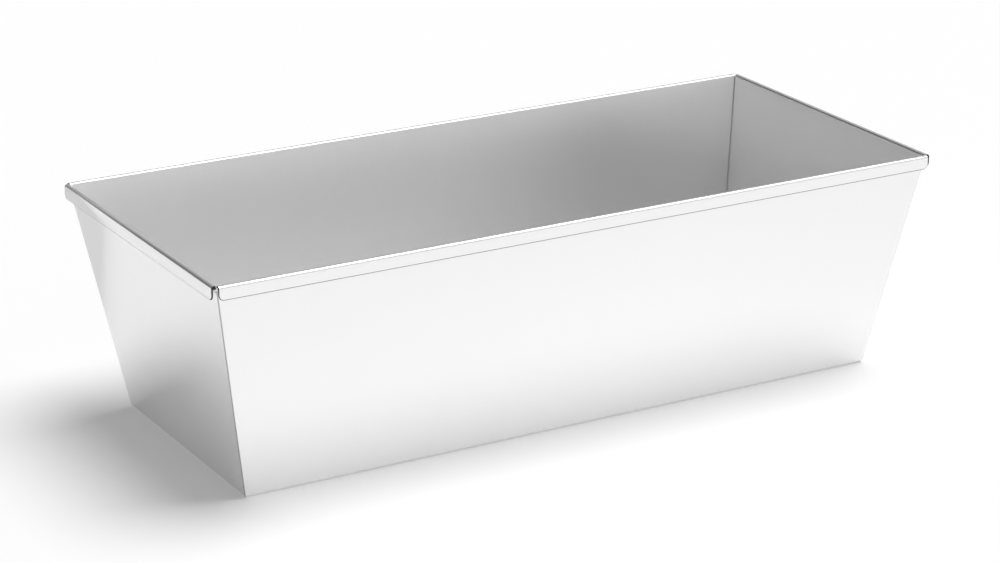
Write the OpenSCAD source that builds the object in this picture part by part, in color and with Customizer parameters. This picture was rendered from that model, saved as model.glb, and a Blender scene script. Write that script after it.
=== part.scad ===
/* [Pan] */
// Length of the mouth, between the inner faces of the ends at the rim
mouth_length = 249; // [160:1:360]
// Width of the mouth, between the inner faces of the long walls at the rim
mouth_width = 109; // [70:1:150]
// Height of the pan, from the table to the top of the rim
pan_height = 73; // [45:1:110]
// Lean of all four walls away from upright, in degrees
wall_lean = 9.9; // [4:0.1:16]

/* [Sheet] */
// Thickness of the sheet metal
sheet = 0.5; // [0.4:0.1:0.8]
// Inside radius of the bends round the base
base_bend = 1; // [0.6:0.1:4]
// Depth of the foot that each end panel turns under the pan, from its bend
foot_depth = 6; // [3:0.5:12]

/* [Rim] */
// Diameter of the stiffening wire inside the rim
wire_d = 0.9; // [0.8:0.1:1.4]
// Radius at the centre line of the wire where it turns each corner
wire_corner = 0.9; // [0.8:0.1:1.1]
// Play between the wire and the sheet that is folded over it
wire_play = 0.05; // [0.02:0.01:0.1]
// Inside radius of the fold where a wall turns out over the wire
inner_fold = 0.15; // [0.1:0.05:0.4]
// Inside radius of the fold where the rim turns down into its flap
outer_fold = 0.35; // [0.1:0.05:0.4]
// Height of the flaps along the long walls, from the top of the rim
side_flap = 4.3; // [3.5:0.1:7]
// Height of the flaps across the ends, from the top of the rim
end_flap = 4.5; // [3.5:0.1:7]
// Radius of the lower corners of each flap
flap_corner = 1.8; // [0.8:0.1:2.2]

/* [Seams] */
// Width of the weld beads
seam_width = 0.4; // [0.3:0.1:0.8]

/* [Hidden] */
$fn = 64;
steel = [0.80, 0.81, 0.82];
bead_grey = [0.68, 0.69, 0.70];

// Overrun of every cut past the faces that it has to clear
overrun = 5;
// Flats along each bend and fold, and the angle at which a flap's round corner starts
arc_steps = 12;
arc_edge = 6;
lean_tan = tan(wall_lean);
lean_cos = cos(wall_lean);
half_length = mouth_length / 2;
half_width = mouth_width / 2;
wire_r = wire_d / 2;
// Outside radius of each fold of the rim, and the height of its centre
in_r = inner_fold + sheet;
out_r = outer_fold + sheet;
in_z = pan_height - in_r;
out_z = pan_height - out_r;
wire_z = pan_height - sheet - wire_play - wire_r;
bend_z = sheet + base_bend;
half_seam = seam_width / 2;
// Half a bead, measured along an axis of the pan across a corner plane
half_mitre = half_seam * sqrt(2);
// The corner planes run at 45 degrees and meet the long axis this far from the centre
mitre_x = half_length - half_width;

// Faces of a leaning wall at height z, for a mouth of the given half size
function inner_face(half, z) = half - (pan_height - z) * lean_tan;
function outer_face(half, z) = inner_face(half, z) + sheet / lean_cos;
function bend_x(half) = inner_face(half, bend_z) - base_bend / lean_cos;
// Centre line of the wire beside a wall, and the outer face of the flap beyond it
function wire_x(half) = outer_face(half, wire_z) + (wire_r + wire_play) / lean_cos;
function flap_x(half) = wire_x(half) + wire_r + wire_play + sheet;
// Each rim ends level with the outer face of the wall that it meets
function rim_end(half) = outer_face(half, wire_z);

foot_x = bend_x(half_length) - foot_depth;
pan_reach = flap_x(half_length) + overrun;

// Points along an arc about (x, z), for the bends and folds
function arc(x, z, r, from, to) = [
    for (i = [0:arc_steps])
        let (a = from + (to - from) * i / arc_steps)
        [x + r * cos(a), z + r * sin(a)]
];

// Outline of one wall's sheet from its base bend up, over the wire and down a flap
function wall_outline(half, flap) = let (
    in_x = inner_face(half, in_z) + in_r / lean_cos,
    out_x = flap_x(half) - out_r,
    flap_z = pan_height - flap
) concat(
    arc(bend_x(half), bend_z, base_bend, -90, -wall_lean),
    arc(in_x, in_z, in_r, 180 - wall_lean, 90),
    arc(out_x, out_z, out_r, 90, 0),
    [[flap_x(half), flap_z], [flap_x(half) - sheet, flap_z]],
    arc(out_x, out_z, outer_fold, 0, 90),
    arc(in_x, in_z, inner_fold, 90, 180 - wall_lean),
    arc(bend_x(half), bend_z, base_bend + sheet, -wall_lean, -90)
);

// Sheet of two facing walls with the base between them
module wall_section(half, flap) {
    right = wall_outline(half, flap);
    last = len(right) - 1;
    left = [for (i = [last:-1:0]) [-right[i][0], right[i][1]]];
    polygon(concat(right, left));
}

// What rounds the lower corner off a flap that ends at run
module flap_cut(half, run, flap) {
    flap_z = pan_height - flap;
    corner_z = flap_z + flap_corner;
    near_x = flap_x(half) - sheet - wire_r;
    round_off = arc(run - flap_corner, corner_z, flap_corner, -arc_edge, arc_edge - 90);
    last = len(round_off) - 1;
    translate([near_x, 0, 0]) rotate([90, 0, 90]) linear_extrude(pan_reach - near_x)
        polygon(concat(
            [[run + overrun, flap_z - overrun], [run + overrun, round_off[0][1]]],
            round_off,
            [[round_off[last][0], flap_z - overrun]]
        ));
}

// Two facing walls across X, run to each side of the centre along Y
module wall_pair(half, run, flap) {
    difference() {
        rotate([90, 0, 0]) linear_extrude(2 * run, center = true) wall_section(half, flap);
        for (flip_x = [0, 1], flip_y = [0, 1]) {
            mirror([flip_x, 0, 0]) mirror([0, flip_y, 0]) flap_cut(half, run, flap);
        }
    }
}

// Plan of one end, from x outward between two lines that lie gap inside the corner planes
module end_plan(x, gap) {
    polygon([
        [x, x - mitre_x - gap],
        [pan_reach, pan_reach - mitre_x - gap],
        [pan_reach, gap + mitre_x - pan_reach],
        [x, gap + mitre_x - x]
    ]);
}

module end_block(x, gap) {
    translate([0, 0, -overrun]) linear_extrude(pan_height + 2 * overrun) end_plan(x, gap);
}

module body_trough() {
    color(steel)
    difference() {
        rotate([0, 0, 90]) wall_pair(half_width, rim_end(half_length), side_flap);
        for (side = [0, 1]) {
            mirror([side, 0, 0]) end_block(foot_x - half_seam, -half_mitre);
        }
    }
}

module end_panel() {
    intersection() {
        wall_pair(half_length, rim_end(half_width), end_flap);
        end_block(foot_x + half_seam, half_mitre);
    }
}

module left_end_panel() {
    color(steel) mirror([1, 0, 0]) end_panel();
}

module right_end_panel() {
    color(steel) end_panel();
}

module rim_wire() {
    turn_x = wire_x(half_length) - wire_corner;
    turn_y = wire_x(half_width) - wire_corner;
    color(steel)
    for (flip_x = [0, 1], flip_y = [0, 1]) {
        mirror([flip_x, 0, 0]) mirror([0, flip_y, 0]) translate([0, 0, wire_z]) {
            translate([0, wire_x(half_width), 0]) rotate([0, 90, 0])
                cylinder(h = turn_x, r = wire_r);
            translate([wire_x(half_length), 0, 0]) rotate([-90, 0, 0])
                cylinder(h = turn_y, r = wire_r);
            translate([turn_x, turn_y, 0]) rotate_extrude(angle = 90)
                translate([wire_corner, 0]) circle(wire_r);
        }
    }
}

// Points of a section stretched onto a corner plane, less the flat edge of the bead
function on_mitre(points) = [for (p = points) [sqrt(2) * p[0] - half_seam, p[1]]];

// Bead in the corner at +X +Y, from the base seam up to the folds of the rim
module corner_weld() {
    near_x = foot_x - half_seam;
    inside = arc(bend_x(half_width), bend_z, base_bend, -90, -wall_lean);
    outside = arc(bend_x(half_width), bend_z, base_bend + sheet, -wall_lean, -90);
    top = [[inner_face(half_width, in_z), in_z], [outer_face(half_width, in_z), in_z]];
    intersection() {
        translate([mitre_x, 0, 0]) rotate([90, 0, 45]) linear_extrude(seam_width, center = true)
            polygon(concat([[0, 0], [0, sheet]], on_mitre(concat(inside, top, outside))));
        translate([near_x, 0, -overrun]) cube([pan_reach, pan_reach, pan_height + 2 * overrun]);
    }
}

module back_right_corner_weld() {
    color(bead_grey) corner_weld();
}

module front_right_corner_weld() {
    color(bead_grey) mirror([0, 1, 0]) corner_weld();
}

module back_left_corner_weld() {
    color(bead_grey) mirror([1, 0, 0]) corner_weld();
}

module front_left_corner_weld() {
    color(bead_grey) mirror([1, 0, 0]) mirror([0, 1, 0]) corner_weld();
}

// Bead across the base, between the trough and the foot of the end at +X
module base_weld() {
    near_x = foot_x - half_seam;
    far_x = foot_x + half_seam;
    linear_extrude(sheet) polygon([
        [near_x, near_x - mitre_x - half_mitre],
        [far_x, far_x - mitre_x - half_mitre],
        [far_x, half_mitre + mitre_x - far_x],
        [near_x, half_mitre + mitre_x - near_x]
    ]);
}

module right_base_weld() {
    color(bead_grey) base_weld();
}

module left_base_weld() {
    color(bead_grey) mirror([1, 0, 0]) base_weld();
}

body_trough();
left_end_panel();
right_end_panel();
rim_wire();
front_left_corner_weld();
front_right_corner_weld();
back_left_corner_weld();
back_right_corner_weld();
left_base_weld();
right_base_weld();
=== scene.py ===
"""A long open loaf pan in satin sheet metal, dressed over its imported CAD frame."""

import math

import bmesh
import bpy
from bpy.props import FloatProperty, FloatVectorProperty, IntProperty, PointerProperty
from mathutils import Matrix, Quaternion, Vector


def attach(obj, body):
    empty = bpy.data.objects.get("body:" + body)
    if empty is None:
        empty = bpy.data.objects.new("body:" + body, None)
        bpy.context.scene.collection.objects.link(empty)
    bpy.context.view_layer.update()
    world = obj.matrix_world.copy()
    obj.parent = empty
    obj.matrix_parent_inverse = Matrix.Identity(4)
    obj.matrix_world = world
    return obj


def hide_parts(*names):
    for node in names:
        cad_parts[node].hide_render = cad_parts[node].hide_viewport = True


bl_info = {
    "name": "Wired Loaf Pan",
    "version": (1, 0, 0),
    "blender": (4, 5, 0),
    "location": "View3D > Sidebar > Loaf Pan",
    "description": "Models an open sheet-metal loaf pan with a wired rim, and its studio",
    "category": "Object",
}

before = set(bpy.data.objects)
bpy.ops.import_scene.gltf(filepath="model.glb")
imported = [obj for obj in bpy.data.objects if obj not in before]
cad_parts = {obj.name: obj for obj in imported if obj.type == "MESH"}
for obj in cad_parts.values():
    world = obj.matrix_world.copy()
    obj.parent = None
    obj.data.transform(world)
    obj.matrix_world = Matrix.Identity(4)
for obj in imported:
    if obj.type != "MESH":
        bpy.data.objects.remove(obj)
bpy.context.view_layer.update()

BODY = "root"
MM = 0.001
# Points this close are merged, and a place this close counts as met
MERGE = 0.01 * MM
SNAP = 0.05 * MM
QUARTER_TURN = math.pi / 2
# Edges sharper than this are rounded, in this many steps
ROUND_OVER = math.radians(50)
ROUND_STEPS = 3
# Faces that meet at less than this angle are shaded as one surface
SMOOTH_UNDER = math.radians(35)
# How strongly the larger faces rule the shading, where 50 is even
FACE_WEIGHT = 100
# Flats round the wire
WIRE_FACETS = 24
# How many times the pan's height a cutting block reaches up, and down
BLOCK_REACH = 2
# Signs of X and Y at each corner
CORNERS = {
    "back_right": (1, 1),
    "front_right": (1, -1),
    "back_left": (-1, 1),
    "front_left": (-1, -1),
}
# Soft lights of the room: azimuth from +X, elevation and half angle in degrees, then strength
ROOM_LIGHTS = {
    "right": (0, 5, 35, 0.65),
    "right_wide": (0, 5, 55, 0.65),
    "front_right": (300, 5, 55, 0.65),
    "front_left": (240, 5, 55, 0.55),
    "back_right": (60, 5, 55, 0.29),
}
# Detail of the noise in clouds and grain, and the value that the noise swings about
CLOUD_DETAIL = 4
GRAIN_DETAIL = 3
NOISE_MIDDLE = 0.5
# Unevenness and detail of the ripples in a weld bead
RIPPLE_DISTORTION = 2
RIPPLE_DETAIL = 2
# Depth of the relief of grain and ripples
RELIEF_DEPTH = 0.01 * MM
WIRE_ROUGHNESS = 0.22
WELD_ROUGHNESS = 0.35
EDGE_ROUGHNESS = 0.5
FLOOR_ROUGHNESS = 0.9
# Width of the camera's sensor in millimetres
SENSOR_WIDTH = 36
WHITE = (1, 1, 1, 1)


class PanSizes(bpy.types.PropertyGroup):
    """Sizes of the pan, its sheet, its wire and its seams"""

    mouth_length: FloatProperty(
        name="Mouth Length", description="Between the ends, inside, at the rim",
        default=249 * MM, unit="LENGTH")
    mouth_width: FloatProperty(
        name="Mouth Width", description="Between the long walls, inside, at the rim",
        default=109 * MM, unit="LENGTH")
    height: FloatProperty(
        name="Height", description="From the table to the top of the rim",
        default=73 * MM, unit="LENGTH")
    lean: FloatProperty(
        name="Wall Lean", description="Lean of the walls away from upright",
        default=math.radians(9.9), subtype="ANGLE")
    sheet: FloatProperty(
        name="Sheet", description="Thickness of the sheet metal",
        default=0.5 * MM, unit="LENGTH")
    base_bend: FloatProperty(
        name="Base Bend", description="Inside radius of the bends round the base",
        default=1.0 * MM, unit="LENGTH")
    foot_depth: FloatProperty(
        name="Foot Depth", description="Depth of the foot that an end turns under the pan",
        default=6 * MM, unit="LENGTH")
    wire: FloatProperty(
        name="Wire", description="Diameter of the wire in the rim",
        default=0.9 * MM, unit="LENGTH")
    wire_corner: FloatProperty(
        name="Wire Corner", description="Radius of the wire's turn at its centre line",
        default=0.9 * MM, unit="LENGTH")
    wire_play: FloatProperty(
        name="Wire Play", description="Play between the wire and the sheet",
        default=0.05 * MM, unit="LENGTH")
    inner_fold: FloatProperty(
        name="Inner Fold", description="Inside radius of the fold out over the wire",
        default=0.15 * MM, unit="LENGTH")
    outer_fold: FloatProperty(
        name="Outer Fold", description="Inside radius of the fold down into the flap",
        default=0.35 * MM, unit="LENGTH")
    side_flap: FloatProperty(
        name="Side Flap", description="Height of the flaps along the long walls",
        default=4.3 * MM, unit="LENGTH")
    end_flap: FloatProperty(
        name="End Flap", description="Height of the flaps across the ends",
        default=4.5 * MM, unit="LENGTH")
    flap_corner: FloatProperty(
        name="Flap Corner", description="Radius of the lower corners of a flap",
        default=1.8 * MM, unit="LENGTH")
    seam: FloatProperty(
        name="Seam", description="Width of the weld beads",
        default=0.4 * MM, unit="LENGTH")
    edge: FloatProperty(
        name="Edge Rounding", description="Rounding of the cut edges of the sheet",
        default=0.23 * MM, unit="LENGTH")
    bead_edge: FloatProperty(
        name="Bead Rounding", description="Rounding of the edges of the weld beads",
        default=0.05 * MM, unit="LENGTH")
    bend_steps: IntProperty(
        name="Bend Steps", description="Flats along each bend", default=12, min=4)


class PanFinish(bpy.types.PropertyGroup):
    """Colours and roughness of the metal"""

    sheet_colour: FloatVectorProperty(
        name="Sheet", description="Colour of the satin sheet",
        default=(0.94, 0.94, 0.94), size=3, subtype="COLOR")
    wire_colour: FloatVectorProperty(
        name="Wire", description="Colour of the drawn wire",
        default=(0.80, 0.80, 0.79), size=3, subtype="COLOR")
    weld_colour: FloatVectorProperty(
        name="Weld", description="Colour of the dressed weld",
        default=(0.42, 0.42, 0.42), size=3, subtype="COLOR")
    # The near-black edge colour is painted shade, standing in for the shadow lines along the
    # sheet's edges
    edge_shade_colour: FloatVectorProperty(
        name="Painted Edge Shade", description="Colour of the sheet's cut and rounded edges",
        default=(0.05, 0.05, 0.05), size=3, subtype="COLOR")
    sheet_roughness: FloatProperty(
        name="Sheet Roughness", description="Roughness of the satin sheet",
        default=0.25, min=0, max=1, subtype="FACTOR")
    sheet_metallic: FloatProperty(
        name="Sheet Metallic", description="How far the sheet mirrors rather than scatters",
        default=0.7, min=0, max=1, subtype="FACTOR")


class PanStudio(bpy.types.PropertyGroup):
    """Floor, lamps and camera"""

    camera_place: FloatVectorProperty(
        name="Camera", description="Where the camera stands",
        default=(-0.4654, -0.8167, 0.3696), size=3, subtype="TRANSLATION")
    camera_aim: FloatVectorProperty(
        name="Aim", description="Point that the camera looks at",
        default=(0.0075, 0.01525, 0.0292), size=3, subtype="TRANSLATION")
    camera_roll: FloatProperty(
        name="Roll", description="Roll of the camera",
        default=math.radians(-0.15), subtype="ANGLE")
    camera_lens: FloatProperty(
        name="Lens", description="Focal length", default=112.07, unit="CAMERA")
    floor_colour: FloatVectorProperty(
        name="Floor", description="Colour of the floor",
        default=(0.92, 0.92, 0.92), size=3, subtype="COLOR")
    floor_fade: FloatProperty(
        name="Floor Fade", description="How far the floor is seen faded towards white",
        default=0.25, min=0, max=1, subtype="FACTOR")
    floor_size: FloatProperty(
        name="Floor Size", description="Side of the floor", default=12, unit="LENGTH")
    key_power: FloatProperty(
        name="Key Lamp", description="Strength of the soft lamp", default=2.95)
    key_spread: FloatProperty(
        name="Key Spread", description="Angle that the soft lamp fills",
        default=math.radians(39), subtype="ANGLE")
    key_from: FloatVectorProperty(
        name="Key From", description="Direction to the soft lamp",
        default=(0.5, -0.08, 1.6), size=3, subtype="DIRECTION")
    room_power: FloatProperty(
        name="Room Lights", description="Factor on all soft lights of the room", default=1)


def lean_run(sizes, z):
    """How far a wall's face at height z lies inside its place at the top of the rim."""
    return (sizes.height - z) * math.tan(sizes.lean)


class Section:
    """Where folds, wire and edges lie, for a wall that is half a size from the centre."""

    def __init__(self, sizes, half, flap):
        cos_lean = math.cos(sizes.lean)
        wire_r = sizes.wire / 2
        in_r = sizes.inner_fold + sizes.sheet
        out_r = sizes.outer_fold + sizes.sheet
        self.bend_r = sizes.base_bend + sizes.sheet / 2
        self.in_mid = sizes.inner_fold + sizes.sheet / 2
        self.bend_z = sizes.sheet + sizes.base_bend
        self.bend_x = half - lean_run(sizes, self.bend_z) - sizes.base_bend / cos_lean
        self.in_z = sizes.height - in_r
        self.out_z = sizes.height - out_r
        self.wire_z = sizes.height - sizes.sheet - sizes.wire_play - wire_r
        self.rim_end = half - lean_run(sizes, self.wire_z) + sizes.sheet / cos_lean
        self.wire_x = self.rim_end + (wire_r + sizes.wire_play) / cos_lean
        self.flap_x = self.wire_x + wire_r + sizes.wire_play + sizes.sheet
        self.in_x = half - lean_run(sizes, self.in_z) + in_r / cos_lean
        self.out_x = self.flap_x - out_r
        self.flap_z = sizes.height - flap
        self.foot_x = self.bend_x - sizes.foot_depth


def sections():
    """Sizes, section of an end, section of a long wall, and where the corner planes meet X."""
    sizes = bpy.context.scene.pan_sizes
    ends = Section(sizes, sizes.mouth_length / 2, sizes.end_flap)
    sides = Section(sizes, sizes.mouth_width / 2, sizes.side_flap)
    mitre = (sizes.mouth_length - sizes.mouth_width) / 2
    return sizes, ends, sides, mitre


# Modelling


def begin(name, add, **settings):
    """Adds a primitive in edit mode, at the origin, with nothing else selected."""
    bpy.ops.object.select_all(action="DESELECT")
    add(enter_editmode=True, align="WORLD", **settings)
    piece = bpy.context.object
    piece.name = name
    piece.data.name = name
    return piece


def pick(piece, kind, test):
    """Selects the vertices that pass the test, or the edges that pass it at both ends."""
    bpy.ops.mesh.select_mode(type={"verts": "VERT", "edges": "EDGE"}[kind])
    bpy.ops.mesh.select_all(action="DESELECT")
    mesh = bmesh.from_edit_mesh(piece.data)
    found = 0
    for part in getattr(mesh, kind):
        points = [part] if kind == "verts" else part.verts
        if all(test(point.co) for point in points):
            part.select_set(True)
            found += 1
    mesh.select_flush_mode()
    bmesh.update_edit_mesh(piece.data)
    if not found:
        raise RuntimeError(f"{piece.name}: no {kind} at that place")


def near(a, b):
    """Whether two measures count as the same."""
    return abs(a - b) < SNAP


def pull(value):
    """Extrudes what is selected and moves it."""
    bpy.ops.mesh.extrude_region_move(TRANSFORM_OT_translate={"value": value})


def turn(steps, angle, centre, axis):
    """Bends on from the selected edges round a centre."""
    bpy.ops.mesh.spin(steps=steps, angle=angle, center=centre, axis=axis)


def trim(point, normal):
    """Cuts away what lies beyond a plane, and closes the cut."""
    bpy.ops.mesh.select_all(action="SELECT")
    bpy.ops.mesh.bisect(plane_co=point, plane_no=normal, clear_outer=True, use_fill=True)


def trim_to_corners(mitre, gap):
    """Cuts away what lies beyond the two corner planes of the right end, set in by a gap."""
    for side in (1, -1):
        trim((mitre + gap * math.sqrt(2), 0, 0), (-1, side, 0))


def fold_up(section, sizes, along):
    """From the selected edge of the base: bend, wall, two folds over the wire, and the flap."""
    up = Vector((0, 0, 1))
    axis = along.cross(up)
    steps = sizes.bend_steps
    lean_cos = math.cos(sizes.lean)
    lean_sin = math.sin(sizes.lean)

    def at(x, z):
        return along * x + up * z

    turn(steps, sizes.lean - QUARTER_TURN, at(section.bend_x, section.bend_z), axis)
    start = at(
        section.bend_x + section.bend_r * lean_cos, section.bend_z - section.bend_r * lean_sin)
    end = at(
        section.in_x - section.in_mid * lean_cos, section.in_z + section.in_mid * lean_sin)
    pull(end - start)
    turn(steps, QUARTER_TURN - sizes.lean, at(section.in_x, section.in_z), axis)
    pull(along * (section.out_x - section.in_x))
    turn(steps, QUARTER_TURN, at(section.out_x, section.out_z), axis)
    pull(-up * (section.out_z - section.flap_z))


def round_flap(piece, place, radius, steps):
    """Rounds the lower corner of a flap."""
    pick(piece, "verts", lambda co: (co - place).length < SNAP)
    bpy.ops.mesh.bevel(offset=radius, offset_type="OFFSET", segments=steps, affect="VERTICES")


def tidy_mesh():
    """Merges doubles, turns the faces outwards and leaves edit mode."""
    bpy.ops.mesh.select_all(action="SELECT")
    bpy.ops.mesh.remove_doubles(threshold=MERGE)
    bpy.ops.mesh.normals_make_consistent(inside=False)
    bpy.ops.object.mode_set(mode="OBJECT")


def add_modifier(piece, kind, **settings):
    """Adds a modifier with its settings to the active piece and applies it."""
    modifier = piece.modifiers.new(kind.title(), kind)
    for key, value in settings.items():
        setattr(modifier, key, value)
    bpy.ops.object.modifier_apply(modifier=modifier.name)


def mirror_piece(piece, x, y):
    """Adds the other half across X, across Y, or all three other quarters."""
    add_modifier(
        piece, "MIRROR", use_axis=(x, y, False), use_clip=True, merge_threshold=MERGE)


def thicken(piece, sizes):
    """Gives a sheet its thickness and rounds its cut edges, which take the second material, a
    near-black painted shade.
    """
    piece.data.materials.append(satin_sheet())
    piece.data.materials.append(cut_edge())
    add_modifier(
        piece, "SOLIDIFY", thickness=sizes.sheet, offset=0, use_even_offset=True,
        material_offset_rim=1)
    soften(piece, sizes.edge, material=1)


def soften(piece, width, material=-1):
    """Rounds the sharp edges of a piece, in their own material or the one given."""
    add_modifier(
        piece, "BEVEL", width=width, segments=ROUND_STEPS, limit_method="ANGLE",
        angle_limit=ROUND_OVER, harden_normals=False, material=material)


def smooth(piece):
    """Shades bends as one surface and keeps the flat faces flat."""
    bpy.ops.object.shade_smooth_by_angle(angle=SMOOTH_UNDER)
    add_modifier(piece, "WEIGHTED_NORMAL", keep_sharp=True, weight=FACE_WEIGHT)


def dress(piece, slot, *nodes):
    """Gives a finished piece its body and hides the CAD nodes it stands for. The slot is not
    used.
    """
    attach(piece, BODY)
    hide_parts(*nodes)


def again(piece):
    """Takes up a piece for more work, with nothing else selected."""
    bpy.ops.object.select_all(action="DESELECT")
    piece.select_set(True)
    bpy.context.view_layer.objects.active = piece


def copy_mirrored(piece, name, flip_x, flip_y):
    """A copy on the other side of X, of Y or of both, with its own mesh."""
    again(piece)
    bpy.ops.object.duplicate(linked=False)
    copy = bpy.context.object
    copy.name = name
    copy.data.name = name
    bpy.ops.object.mode_set(mode="EDIT")
    bpy.ops.mesh.select_all(action="SELECT")
    bpy.ops.transform.resize(
        value=(-1 if flip_x else 1, -1 if flip_y else 1, 1), center_override=(0, 0, 0))
    if flip_x != flip_y:
        bpy.ops.mesh.flip_normals()
    bpy.ops.object.mode_set(mode="OBJECT")
    return copy


# Materials


def maths(tree, operation, first, second, clamp=False):
    """One sum on two sockets or numbers."""
    node = tree.nodes.new("ShaderNodeMath")
    node.operation = operation
    node.use_clamp = clamp
    for socket, item in zip(node.inputs, (first, second)):
        if isinstance(item, bpy.types.NodeSocket):
            tree.links.new(item, socket)
        else:
            socket.default_value = item
    return node.outputs[0]


def new_group(name, inputs, outputs):
    """A shader node group: name, type and default of each input, name and type of each output."""
    tree = bpy.data.node_groups.new(name, "ShaderNodeTree")
    for label, kind, default in inputs:
        socket = tree.interface.new_socket(label, in_out="INPUT", socket_type=kind)
        socket.default_value = default
    for label, kind in outputs:
        tree.interface.new_socket(label, in_out="OUTPUT", socket_type=kind)
    return tree, tree.nodes.new("NodeGroupInput"), tree.nodes.new("NodeGroupOutput")


def rolled_grain():
    """Faint cloudiness and fine rolling grain of satin sheet."""
    name = "rolled_grain"
    if name in bpy.data.node_groups:
        return bpy.data.node_groups[name]
    tree, source, sink = new_group(
        name,
        [("Vector", "NodeSocketVector", (0, 0, 0)),
         ("Colour", "NodeSocketColor", (0.8, 0.8, 0.8, 1)),
         ("Roughness", "NodeSocketFloat", 0.3),
         ("Cloud Size", "NodeSocketFloat", 18),
         ("Cloud Amount", "NodeSocketFloat", 0.03),
         ("Grain Size", "NodeSocketFloat", 2500),
         ("Grain Amount", "NodeSocketFloat", 0.05)],
        [("Colour", "NodeSocketColor"),
         ("Roughness", "NodeSocketFloat"),
         ("Height", "NodeSocketFloat")])
    link = tree.links.new

    def noise(kind, detail):
        """Noise at its size, and its swing about the middle value times its amount."""
        texture = tree.nodes.new("ShaderNodeTexNoise")
        texture.inputs["Detail"].default_value = detail
        link(source.outputs["Vector"], texture.inputs["Vector"])
        link(source.outputs[f"{kind} Size"], texture.inputs["Scale"])
        level = texture.outputs["Fac"]
        swing = maths(tree, "SUBTRACT", level, NOISE_MIDDLE)
        return level, maths(tree, "MULTIPLY", swing, source.outputs[f"{kind} Amount"])

    _, clouds = noise("Cloud", CLOUD_DETAIL)
    height, grain = noise("Grain", GRAIN_DETAIL)
    tint = tree.nodes.new("ShaderNodeVectorMath")
    tint.operation = "SCALE"
    link(source.outputs["Colour"], tint.inputs[0])
    link(maths(tree, "ADD", clouds, 1), tint.inputs["Scale"])
    link(tint.outputs[0], sink.inputs["Colour"])
    uneven = maths(tree, "ADD", clouds, grain)
    link(maths(tree, "ADD", uneven, source.outputs["Roughness"]), sink.inputs["Roughness"])
    link(height, sink.inputs["Height"])
    return tree


def bead_ripple():
    """Ripples of a dressed weld bead, one above another."""
    name = "bead_ripple"
    if name in bpy.data.node_groups:
        return bpy.data.node_groups[name]
    tree, source, sink = new_group(
        name,
        [("Vector", "NodeSocketVector", (0, 0, 0)),
         ("Ripple Size", "NodeSocketFloat", 700)],
        [("Height", "NodeSocketFloat")])
    wave = tree.nodes.new("ShaderNodeTexWave")
    wave.bands_direction = "Z"
    wave.inputs["Distortion"].default_value = RIPPLE_DISTORTION
    wave.inputs["Detail"].default_value = RIPPLE_DETAIL
    tree.links.new(source.outputs["Vector"], wave.inputs["Vector"])
    tree.links.new(source.outputs["Ripple Size"], wave.inputs["Scale"])
    tree.links.new(wave.outputs["Fac"], sink.inputs["Height"])
    return tree


def metal(name, colour, roughness, stretch, clouds, grain, bump, metallic=1, ripple=False):
    """A metal with clouds and grain, drawn out by the stretch, and ripples as a bead's relief."""
    if name in bpy.data.materials:
        return bpy.data.materials[name]
    material = bpy.data.materials.new(name)
    material.use_nodes = True
    nodes = material.node_tree.nodes
    link = material.node_tree.links.new
    shader = nodes["Principled BSDF"]
    shader.inputs["Metallic"].default_value = metallic
    place = nodes.new("ShaderNodeTexCoord")
    mapping = nodes.new("ShaderNodeMapping")
    mapping.inputs["Scale"].default_value = stretch
    link(place.outputs["Object"], mapping.inputs["Vector"])
    surface = nodes.new("ShaderNodeGroup")
    surface.node_tree = rolled_grain()
    surface.inputs["Colour"].default_value = (*colour, 1)
    surface.inputs["Roughness"].default_value = roughness
    surface.inputs["Cloud Amount"].default_value = clouds
    surface.inputs["Grain Amount"].default_value = grain
    link(mapping.outputs["Vector"], surface.inputs["Vector"])
    link(surface.outputs["Colour"], shader.inputs["Base Color"])
    link(surface.outputs["Roughness"], shader.inputs["Roughness"])
    height = surface.outputs["Height"]
    if ripple:
        bead = nodes.new("ShaderNodeGroup")
        bead.node_tree = bead_ripple()
        link(place.outputs["Object"], bead.inputs["Vector"])
        height = bead.outputs["Height"]
    relief = nodes.new("ShaderNodeBump")
    relief.inputs["Strength"].default_value = bump
    relief.inputs["Distance"].default_value = RELIEF_DEPTH
    link(height, relief.inputs["Height"])
    link(relief.outputs["Normal"], shader.inputs["Normal"])
    return material


def satin_sheet():
    """The flat sheet, with its grain along the pan."""
    finish = bpy.context.scene.pan_finish
    return metal(
        "satin_sheet", finish.sheet_colour, finish.sheet_roughness,
        stretch=(0.25, 1, 1), clouds=0.03, grain=0.04, bump=0.15,
        metallic=finish.sheet_metallic)


def drawn_wire():
    """The wire in the rim."""
    finish = bpy.context.scene.pan_finish
    return metal(
        "drawn_wire", finish.wire_colour, WIRE_ROUGHNESS,
        stretch=(1, 1, 1), clouds=0.05, grain=0.1, bump=0.2)


def cut_edge():
    """The rounded edges of the sheet, made near black as painted shade for the dark shadow lines
    along the flap bottoms and corner seams.
    """
    finish = bpy.context.scene.pan_finish
    return metal(
        "cut_edge", finish.edge_shade_colour, EDGE_ROUGHNESS,
        stretch=(1, 1, 1), clouds=0.1, grain=0.1, bump=0.3)


def dressed_weld():
    """The beads of the seams."""
    finish = bpy.context.scene.pan_finish
    return metal(
        "dressed_weld", finish.weld_colour, WELD_ROUGHNESS,
        stretch=(1, 1, 1), clouds=0.12, grain=0.1, bump=0.4, ripple=True)


# Pieces


def end_block(sizes, ends, mitre, gap):
    """The room of the right end, from its foot outward, inside the corner planes by a gap."""
    near_x = ends.foot_x + gap
    far_x = ends.flap_x + sizes.sheet
    block = begin("end_block", bpy.ops.mesh.primitive_cube_add, size=1)
    bpy.ops.transform.resize(
        value=(far_x - near_x, 2 * far_x, 2 * BLOCK_REACH * sizes.height),
        center_override=(0, 0, 0))
    bpy.ops.transform.translate(value=((near_x + far_x) / 2, 0, 0))
    trim_to_corners(mitre, gap)
    tidy_mesh()
    return block


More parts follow.
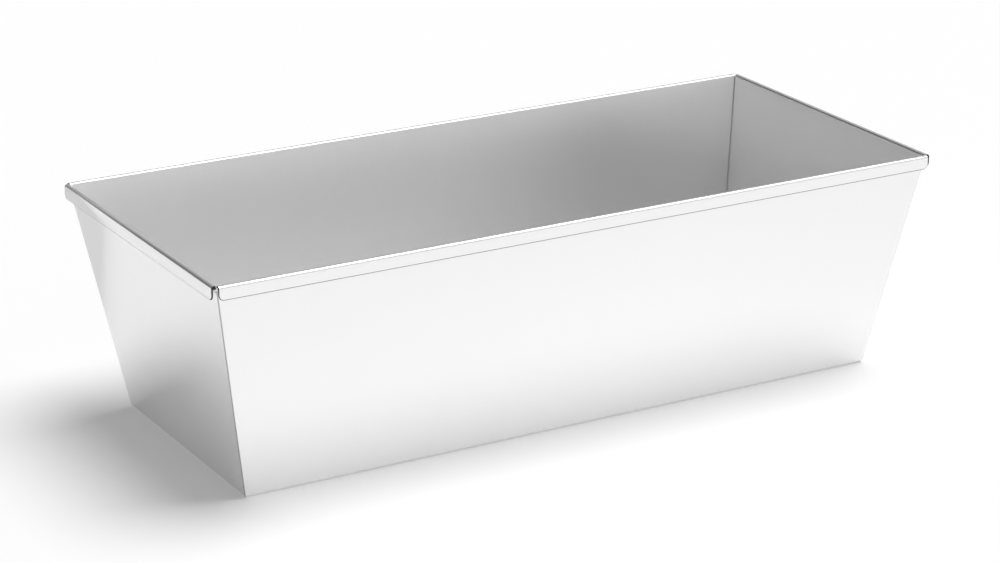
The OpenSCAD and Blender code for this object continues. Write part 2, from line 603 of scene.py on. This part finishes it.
def carve(piece, block, operation):
    """Cuts a piece with a block, which is then cleared away."""
    again(piece)
    add_modifier(piece, "BOOLEAN", operation=operation, object=block, solver="EXACT")
    bpy.data.objects.remove(block)


class PAN_OT_body_trough(bpy.types.Operator):
    """Base and both long walls, folded from one sheet"""

    bl_idname = "pan.body_trough"
    bl_label = "Body Trough"

    def execute(self, context):
        sizes, ends, sides, mitre = sections()
        half_sheet = sizes.sheet / 2
        trough = begin("body_trough_sheet", bpy.ops.mesh.primitive_plane_add, size=1)
        bpy.ops.transform.resize(
            value=(ends.rim_end, sides.bend_x, 1), center_override=(0, 0, 0))
        bpy.ops.transform.translate(value=(ends.rim_end / 2, sides.bend_x / 2, half_sheet))
        pick(trough, "edges", lambda co: near(co.y, sides.bend_x))
        fold_up(sides, sizes, Vector((0, 1, 0)))
        flap_place = Vector((ends.rim_end, sides.flap_x - half_sheet, sides.flap_z))
        round_flap(trough, flap_place, sizes.flap_corner, sizes.bend_steps)
        tidy_mesh()
        mirror_piece(trough, True, True)
        thicken(trough, sizes)
        block = end_block(sizes, ends, mitre, -sizes.seam / 2)
        mirror_piece(block, True, False)
        carve(trough, block, "DIFFERENCE")
        smooth(trough)
        dress(trough, "sheet_metal", "body_trough")
        return {"FINISHED"}


class PAN_OT_end_panels(bpy.types.Operator):
    """Both ends: wall, rim and a short foot under the pan"""

    bl_idname = "pan.end_panels"
    bl_label = "End Panels"

    def execute(self, context):
        sizes, ends, sides, mitre = sections()
        half_sheet = sizes.sheet / 2
        panel = begin("right_end_sheet", bpy.ops.mesh.primitive_plane_add, size=1)
        start_x = ends.foot_x - sizes.sheet
        bpy.ops.transform.resize(
            value=(ends.bend_x - start_x, sides.rim_end, 1), center_override=(0, 0, 0))
        bpy.ops.transform.translate(
            value=((ends.bend_x + start_x) / 2, sides.rim_end / 2, half_sheet))
        pick(panel, "edges", lambda co: near(co.x, ends.bend_x))
        fold_up(ends, sizes, Vector((1, 0, 0)))
        flap_place = Vector((ends.flap_x - half_sheet, sides.rim_end, ends.flap_z))
        round_flap(panel, flap_place, sizes.flap_corner, sizes.bend_steps)
        tidy_mesh()
        mirror_piece(panel, False, True)
        thicken(panel, sizes)
        carve(panel, end_block(sizes, ends, mitre, sizes.seam / 2), "INTERSECT")
        smooth(panel)
        other = copy_mirrored(panel, "left_end_sheet", True, False)
        dress(panel, "sheet_metal", "right_end_panel")
        dress(other, "sheet_metal", "left_end_panel")
        return {"FINISHED"}


class PAN_OT_rim_wire(bpy.types.Operator):
    """Wire ring inside the rim"""

    bl_idname = "pan.rim_wire"
    bl_label = "Rim Wire"

    def execute(self, context):
        sizes, ends, sides, _ = sections()
        turn_x = ends.wire_x - sizes.wire_corner
        turn_y = sides.wire_x - sizes.wire_corner
        wire = begin(
            "rim_wire_ring", bpy.ops.mesh.primitive_circle_add,
            vertices=WIRE_FACETS, radius=sizes.wire / 2)
        bpy.ops.transform.rotate(
            value=QUARTER_TURN, orient_axis="Y", center_override=(0, 0, 0))
        bpy.ops.transform.translate(value=(0, sides.wire_x, ends.wire_z))
        pull((turn_x, 0, 0))
        turn(sizes.bend_steps, QUARTER_TURN, (turn_x, turn_y, ends.wire_z), (0, 0, 1))
        pull((0, -turn_y, 0))
        tidy_mesh()
        mirror_piece(wire, True, True)
        smooth(wire)
        wire.data.materials.append(drawn_wire())
        dress(wire, "wire_steel", "rim_wire")
        return {"FINISHED"}


class PAN_OT_corner_welds(bpy.types.Operator):
    """Bead up each corner, from the base seam to the rim"""

    bl_idname = "pan.corner_welds"
    bl_label = "Corner Welds"

    def execute(self, context):
        sizes, ends, sides, mitre = sections()
        half_seam = sizes.seam / 2
        start_x = ends.foot_x - mitre - sizes.seam
        bead = begin("back_right_corner_bead", bpy.ops.mesh.primitive_plane_add, size=1)
        bpy.ops.transform.resize(
            value=(sizes.sheet, sizes.seam, 1), center_override=(0, 0, 0))
        bpy.ops.transform.rotate(
            value=QUARTER_TURN, orient_axis="Y", center_override=(0, 0, 0))
        bpy.ops.transform.translate(value=(start_x, 0, sizes.sheet / 2))
        bpy.ops.mesh.delete(type="ONLY_FACE")
        bpy.ops.mesh.select_all(action="SELECT")
        pull((sides.bend_x - start_x, 0, 0))
        turn(
            sizes.bend_steps, sizes.lean - QUARTER_TURN,
            (sides.bend_x, 0, sides.bend_z), (0, -1, 0))
        rise = sides.in_z - sides.bend_z + sides.bend_r * math.sin(sizes.lean)
        pull((rise * math.tan(sizes.lean), 0, rise))
        # The section of a long wall is stretched and turned onto the corner plane
        bpy.ops.mesh.select_all(action="SELECT")
        bpy.ops.transform.resize(value=(math.sqrt(2), 1, 1), center_override=(0, 0, 0))
        bpy.ops.transform.translate(value=(-half_seam, 0, 0))
        bpy.ops.transform.rotate(
            value=-QUARTER_TURN / 2, orient_axis="Z", center_override=(0, 0, 0))
        bpy.ops.transform.translate(value=(mitre, 0, 0))
        trim((ends.foot_x - half_seam, 0, 0), (-1, 0, 0))
        trim((0, 0, sides.in_z), (0, 0, 1))
        tidy_mesh()
        soften(bead, sizes.bead_edge)
        smooth(bead)
        bead.data.materials.append(dressed_weld())
        beads = {"back_right": bead}
        for corner, (side_x, side_y) in CORNERS.items():
            if corner not in beads:
                beads[corner] = copy_mirrored(
                    bead, f"{corner}_corner_bead", side_x < 0, side_y < 0)
        for corner, piece in beads.items():
            dress(piece, "weld_metal", f"{corner}_corner_weld")
        return {"FINISHED"}


class PAN_OT_base_welds(bpy.types.Operator):
    """Bead across the base at each end's foot"""

    bl_idname = "pan.base_welds"
    bl_label = "Base Welds"

    def execute(self, context):
        sizes, ends, _, mitre = sections()
        bead = begin("right_base_bead", bpy.ops.mesh.primitive_plane_add, size=1)
        reach = ends.foot_x - mitre
        bpy.ops.transform.resize(value=(sizes.seam, 2 * reach, 1), center_override=(0, 0, 0))
        bpy.ops.transform.translate(value=(ends.foot_x, 0, 0))
        pull((0, 0, sizes.sheet))
        trim_to_corners(mitre, sizes.seam / 2)
        tidy_mesh()
        soften(bead, sizes.bead_edge)
        smooth(bead)
        bead.data.materials.append(dressed_weld())
        other = copy_mirrored(bead, "left_base_bead", True, False)
        dress(bead, "weld_metal", "right_base_weld")
        dress(other, "weld_metal", "left_base_weld")
        return {"FINISHED"}


# Stage


def soft_light(tree, direction, azimuth, elevation, spread, strength):
    """Brightness of one soft light, which fades out at the edge of its spread."""
    flat = math.cos(math.radians(elevation))
    toward = tree.nodes.new("ShaderNodeVectorMath")
    toward.operation = "DOT_PRODUCT"
    toward.inputs[1].default_value = (
        flat * math.cos(math.radians(azimuth)),
        flat * math.sin(math.radians(azimuth)),
        math.sin(math.radians(elevation)))
    tree.links.new(direction, toward.inputs[0])
    ease = tree.nodes.new("ShaderNodeMapRange")
    ease.interpolation_type = "SMOOTHSTEP"
    ease.inputs["From Min"].default_value = math.cos(math.radians(spread))
    ease.inputs["From Max"].default_value = 1
    ease.inputs["To Max"].default_value = strength
    tree.links.new(toward.outputs["Value"], ease.inputs["Value"])
    return ease.outputs["Result"]


def studio_world(studio):
    """A room of soft lights."""
    world = bpy.data.worlds.new("soft_room")
    world.use_nodes = True
    tree = world.node_tree
    background = tree.nodes["Background"]
    place = tree.nodes.new("ShaderNodeTexCoord")
    room = 0
    for light in ROOM_LIGHTS.values():
        glow = soft_light(tree, place.outputs["Generated"], *light)
        room = maths(tree, "ADD", room, glow)
    level = maths(tree, "MULTIPLY", room, studio.room_power)
    tree.links.new(level, background.inputs["Strength"])
    background.inputs["Color"].default_value = WHITE
    return world


def seen_rays(tree):
    """1 for rays from the camera, also by way of metal or glass."""
    path = tree.nodes.new("ShaderNodeLightPath")
    seen = path.outputs["Is Camera Ray"]
    for label in ("Is Glossy Ray", "Is Transmission Ray"):
        seen = maths(tree, "ADD", seen, path.outputs[label], clamp=True)
    return seen


def pale_floor(studio):
    """A plain floor that keeps the pan's shadow and is seen faded towards white."""
    material = bpy.data.materials.new("pale_floor")
    material.use_nodes = True
    tree = material.node_tree
    shader = tree.nodes["Principled BSDF"]
    shader.inputs["Base Color"].default_value = (*studio.floor_colour, 1)
    shader.inputs["Roughness"].default_value = FLOOR_ROUGHNESS
    shader.inputs["Specular IOR Level"].default_value = 0
    white = tree.nodes.new("ShaderNodeEmission")
    white.inputs["Color"].default_value = WHITE
    fade = maths(tree, "MULTIPLY", seen_rays(tree), studio.floor_fade)
    mix = tree.nodes.new("ShaderNodeMixShader")
    tree.links.new(fade, mix.inputs["Fac"])
    tree.links.new(shader.outputs["BSDF"], mix.inputs[1])
    tree.links.new(white.outputs["Emission"], mix.inputs[2])
    tree.links.new(mix.outputs["Shader"], tree.nodes["Material Output"].inputs["Surface"])
    return material


class PAN_OT_stage(bpy.types.Operator):
    """Pale floor, soft lamp and camera"""

    bl_idname = "pan.stage"
    bl_label = "Studio"

    def execute(self, context):
        studio = context.scene.pan_studio
        bpy.ops.object.select_all(action="DESELECT")
        bpy.ops.mesh.primitive_plane_add(size=studio.floor_size)
        floor = context.object
        floor.name = "studio_floor"
        floor.data.materials.append(pale_floor(studio))
        bpy.ops.object.light_add(type="SUN")
        key = context.object
        key.name = "key_lamp"
        key.data.energy = studio.key_power
        key.data.angle = studio.key_spread
        key.rotation_mode = "QUATERNION"
        key.rotation_quaternion = Vector(studio.key_from).to_track_quat("Z", "Y")
        context.scene.world = studio_world(studio)
        context.scene.view_settings.view_transform = "Standard"
        bpy.ops.object.camera_add(location=studio.camera_place)
        camera = context.object
        aim = Vector(studio.camera_aim) - Vector(studio.camera_place)
        camera.rotation_mode = "QUATERNION"
        camera.rotation_quaternion = (
            aim.to_track_quat("-Z", "Y") @ Quaternion((0, 0, 1), studio.camera_roll))
        camera.data.lens = studio.camera_lens
        camera.data.sensor_width = SENSOR_WIDTH
        context.scene.camera = camera
        return {"FINISHED"}


class PAN_PT_pieces(bpy.types.Panel):
    """Sizes, finish and pieces of the pan"""

    bl_label = "Loaf Pan"
    bl_idname = "PAN_PT_pieces"
    bl_space_type = "VIEW_3D"
    bl_region_type = "UI"
    bl_category = "Loaf Pan"

    def draw(self, context):
        scene = context.scene
        for group in (scene.pan_sizes, scene.pan_finish, scene.pan_studio):
            box = self.layout.box()
            for name in group.__annotations__:
                box.prop(group, name)
        for operator in PIECES:
            self.layout.operator(operator.bl_idname)


PIECES = (
    PAN_OT_body_trough,
    PAN_OT_end_panels,
    PAN_OT_rim_wire,
    PAN_OT_corner_welds,
    PAN_OT_base_welds,
    PAN_OT_stage,
)
GROUPS = {"pan_sizes": PanSizes, "pan_finish": PanFinish, "pan_studio": PanStudio}
CLASSES = (*GROUPS.values(), *PIECES, PAN_PT_pieces)


def register():
    for item in CLASSES:
        bpy.utils.register_class(item)
    for name, group in GROUPS.items():
        setattr(bpy.types.Scene, name, PointerProperty(type=group))


def unregister():
    for name in GROUPS:
        delattr(bpy.types.Scene, name)
    for item in reversed(CLASSES):
        bpy.utils.unregister_class(item)


def main():
    register()
    bpy.ops.pan.body_trough()
    bpy.ops.pan.end_panels()
    bpy.ops.pan.rim_wire()
    bpy.ops.pan.corner_welds()
    bpy.ops.pan.base_welds()
    bpy.ops.pan.stage()


if __name__ == "__main__":
    main()
